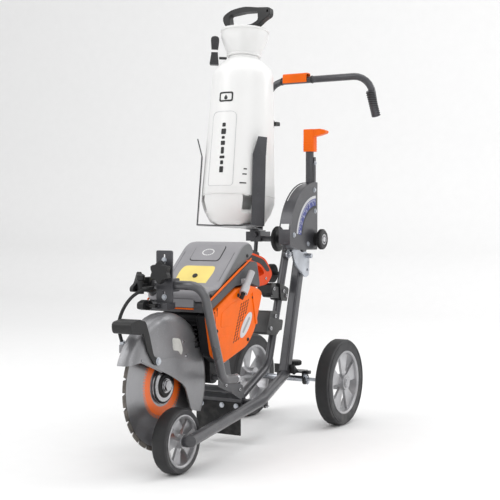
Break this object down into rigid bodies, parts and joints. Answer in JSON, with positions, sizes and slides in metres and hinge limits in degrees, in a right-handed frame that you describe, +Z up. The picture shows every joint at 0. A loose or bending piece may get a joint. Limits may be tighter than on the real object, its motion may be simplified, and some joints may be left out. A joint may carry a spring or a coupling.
{
  "type": "walk-behind concrete saw",
  "caption": "Wheeled cart that carries a guarded cut-off saw on a swinging carrier, with a water tank, a depth lever on a toothed sector and a one-sided handlebar.",
  "frame": {"origin": "middle of the bounding box, on the ground", "axes": "-Y is the front, where the blade is; +X is the side with the front wheel and the starter; +Z is up"},
  "size_m": [0.5112, 1.2418, 1.3848],
  "materials": {
    "frame_paint": "satin powder coat",
    "zinc": "zinc plated",
    "steel": "ground",
    "blade_steel": "ground with a segmented rim",
    "tyre": "solid rubber",
    "rim": "cast",
    "black_plastic": "moulded",
    "engine": "dark cast and moulded parts",
    "rubber": "matt",
    "orange_plastic": "moulded",
    "handle_orange": "moulded",
    "cover_grey": "moulded",
    "band_grey": "moulded",
    "guard_grey": "satin",
    "tank_plastic": "translucent blow-moulded"
  },
  "bodies": {
    "frame": {"main_tube": "frame_paint", "column_tube": "frame_paint", "axle_bracket": "frame_paint", "rear_axle": "zinc", "shaft_nut": "zinc", "quadrant_housing": "frame_paint", "cross_shaft": "frame_paint", "tank_tray": "frame_paint"},
    "rear_wheel_left": {"rear_tyre_left": "tyre", "rear_rim_left": "rim"},
    "rear_wheel_right": {"rear_tyre_right": "tyre", "rear_rim_right": "rim"},
    "front_wheel": {"front_tyre": "tyre", "front_rim": "rim"},
    "adjuster_knob": {"adjuster_knob": "black_plastic"},
    "hub_knob": {"hub_knob": "black_plastic"},
    "clamp_knob": {"clamp_knob": "black_plastic"},
    "stem_clamp": {"stem_clamp": "black_plastic"},
    "handlebar": {"handlebar": "frame_paint"},
    "throttle_lever": {"throttle_lever": "orange_plastic"},
    "depth_lever": {"toothed_sector": "zinc", "depth_lever": "frame_paint", "lever_grip": "orange_plastic"},
    "carrier": {"carrier_tube": "frame_paint", "upper_clamp": "frame_paint", "lower_clamp": "frame_paint", "front_cradle": "frame_paint", "splash_flap": "rubber", "engine_block": "engine", "side_band": "band_grey", "top_cover": "cover_grey", "starter_cover": "orange_plastic", "rear_handle": "handle_orange", "front_handle": "black_plastic", "cutting_arm": "rim", "belt_cover": "black_plastic", "drive_belt": "rubber", "guard_strap": "frame_paint", "water_valve": "black_plastic", "water_hose": "rubber"},
    "starter_grip": {"starter_grip": "rim"},
    "throttle_trigger": {"throttle_trigger": "black_plastic"},
    "trigger_lockout": {"trigger_lockout": "black_plastic"},
    "fuel_cap": {"fuel_cap": "black_plastic"},
    "decompression_valve": {"decompression_valve": "black_plastic"},
    "drive_pulley": {"drive_pulley": "steel"},
    "blade": {"blade": "blade_steel", "blade_spindle": "steel"},
    "blade_guard": {"blade_guard": "guard_grey", "guard_handle": "black_plastic"},
    "star_knob": {"star_knob": "black_plastic"},
    "wing_knob": {"wing_knob": "black_plastic"},
    "valve_lever": {"valve_lever": "black_plastic"},
    "saddle_knob": {"saddle_knob": "black_plastic"},
    "link_rod": {"link_rod": "zinc"},
    "tank": {"tank_body": "tank_plastic", "tank_funnel": "tank_plastic", "strap_tail": "rubber", "carry_strap": "rubber"},
    "pump_handle": {"pump_handle": "black_plastic"}
  },
  "joints": [
    {"name": "rear_wheel_left_turn", "type": "hinge", "parent": "frame", "child": "rear_wheel_left", "pos_m": [0.20787, 0.38738, 0.14], "axis": [1, 0, 0], "continuous": true},
    {"name": "rear_wheel_right_turn", "type": "hinge", "parent": "frame", "child": "rear_wheel_right", "pos_m": [-0.13213, 0.38738, 0.14], "axis": [1, 0, 0], "continuous": true},
    {"name": "front_wheel_turn", "type": "hinge", "parent": "frame", "child": "front_wheel", "pos_m": [0.11787, -0.44362, 0.0875], "axis": [1, 0, 0], "continuous": true},
    {"name": "adjuster_knob_turn", "type": "hinge", "parent": "frame", "child": "adjuster_knob", "pos_m": [0.03987, 0.38738, 0.19], "axis": [0, 0, 1], "range_deg": [-180, 180]},
    {"name": "hub_knob_turn", "type": "hinge", "parent": "frame", "child": "hub_knob", "pos_m": [0.12187, 0.41738, 0.606], "axis": [1, 0, 0], "range_deg": [-180, 180]},
    {"name": "clamp_knob_turn", "type": "hinge", "parent": "frame", "child": "clamp_knob", "pos_m": [-0.03713, 0.41738, 0.606], "axis": [1, 0, 0], "range_deg": [-180, 180]},
    {"name": "stem_clamp_turn", "type": "hinge", "parent": "frame", "child": "stem_clamp", "pos_m": [-0.10813, 0.53536, 1.008], "axis": [1, 0, 0], "range_deg": [-90, 90]},
    {"name": "handlebar_slide", "type": "slide", "parent": "frame", "child": "handlebar", "axis": [0, 0.2051, 0.9788], "range_m": [-0.03, 0.12]},
    {"name": "throttle_lever_turn", "type": "hinge", "parent": "handlebar", "child": "throttle_lever", "pos_m": [-0.08613, 0.56738, 1.178], "axis": [0, 1, 0], "range_deg": [0, 4], "stiffness_Nm_per_rad": 1.5, "springref_deg": -5.73},
    {"name": "carrier_turn", "type": "hinge", "parent": "frame", "child": "carrier", "pos_m": [0.03787, 0.00438, 0.116], "axis": [1, 0, 0], "range_deg": [0, 14]},
    {"name": "depth_lever_turn", "type": "hinge", "parent": "frame", "child": "depth_lever", "pos_m": [0.08287, 0.41738, 0.606], "axis": [1, 0, 0], "range_deg": [0, 40.8]},
    {"name": "link_rod_turn", "type": "hinge", "parent": "carrier", "child": "link_rod", "pos_m": [0.05787, 0.30938, 0.558], "axis": [1, 0, 0], "range_deg": [-28.1, 0]},
    {"name": "starter_grip_slide", "type": "slide", "parent": "carrier", "child": "starter_grip", "axis": [0, 0.631, 0.7758], "range_m": [0, 0.25], "stiffness_N_per_m": 40, "springref_m": -0.05},
    {"name": "throttle_trigger_turn", "type": "hinge", "parent": "carrier", "child": "throttle_trigger", "pos_m": [0.03787, 0.05738, 0.54], "axis": [1, 0, 0], "range_deg": [0, 8], "stiffness_Nm_per_rad": 1.2, "springref_deg": -11.46},
    {"name": "trigger_lockout_turn", "type": "hinge", "parent": "carrier", "child": "trigger_lockout", "pos_m": [0.03787, 0.12938, 0.556], "axis": [1, 0, 0], "range_deg": [0, 6], "stiffness_Nm_per_rad": 1.2, "springref_deg": -11.46},
    {"name": "fuel_cap_turn", "type": "hinge", "parent": "carrier", "child": "fuel_cap", "pos_m": [-0.06613, -0.20062, 0.362], "axis": [1, 0, 0], "range_deg": [0, 270]},
    {"name": "decompression_valve_slide", "type": "slide", "parent": "carrier", "child": "decompression_valve", "axis": [0, -0.6428, 0.766], "range_m": [-0.003, 0], "stiffness_N_per_m": 400, "springref_m": 0.001},
    {"name": "drive_pulley_turn", "type": "hinge", "parent": "carrier", "child": "drive_pulley", "pos_m": [0.01487, -0.25262, 0.322], "axis": [1, 0, 0], "continuous": true},
    {"name": "blade_turn", "type": "hinge", "parent": "carrier", "child": "blade", "pos_m": [0.05787, -0.42462, 0.228], "axis": [1, 0, 0], "continuous": true},
    {"name": "blade_guard_turn", "type": "hinge", "parent": "carrier", "child": "blade_guard", "pos_m": [0.06287, -0.42462, 0.228], "axis": [1, 0, 0], "range_deg": [0, 30]},
    {"name": "star_knob_turn", "type": "hinge", "parent": "carrier", "child": "star_knob", "pos_m": [0.04987, -0.41262, 0.53], "axis": [0, 1, 0], "range_deg": [-180, 180]},
    {"name": "wing_knob_turn", "type": "hinge", "parent": "carrier", "child": "wing_knob", "pos_m": [0.00387, -0.42462, 0.44], "axis": [1, 0, 0], "range_deg": [-180, 180]},
    {"name": "valve_lever_turn", "type": "hinge", "parent": "carrier", "child": "valve_lever", "pos_m": [-0.03013, -0.41862, 0.486], "axis": [1, 0, 0], "range_deg": [0, 80]},
    {"name": "saddle_knob_turn", "type": "hinge", "parent": "carrier", "child": "saddle_knob", "pos_m": [-0.00613, 0.31538, 0.494], "axis": [1, 0, 0], "range_deg": [-180, 180]},
    {"name": "tank_slide", "type": "slide", "parent": "frame", "child": "tank", "axis": [0, 0.0785, 0.9969], "range_m": [0, 0.3]},
    {"name": "pump_handle_slide", "type": "slide", "parent": "tank", "child": "pump_handle", "axis": [0, 0.0785, 0.9969], "range_m": [0, 0.15]}
  ],
  "couplings": [
    {"joint": "depth_lever_turn", "follows": "carrier_turn", "ratio": 2.91},
    {"joint": "link_rod_turn", "follows": "carrier_turn", "ratio": -2},
    {"joint": "drive_pulley_turn", "follows": "blade_turn", "ratio": 0.7857}
  ]
}
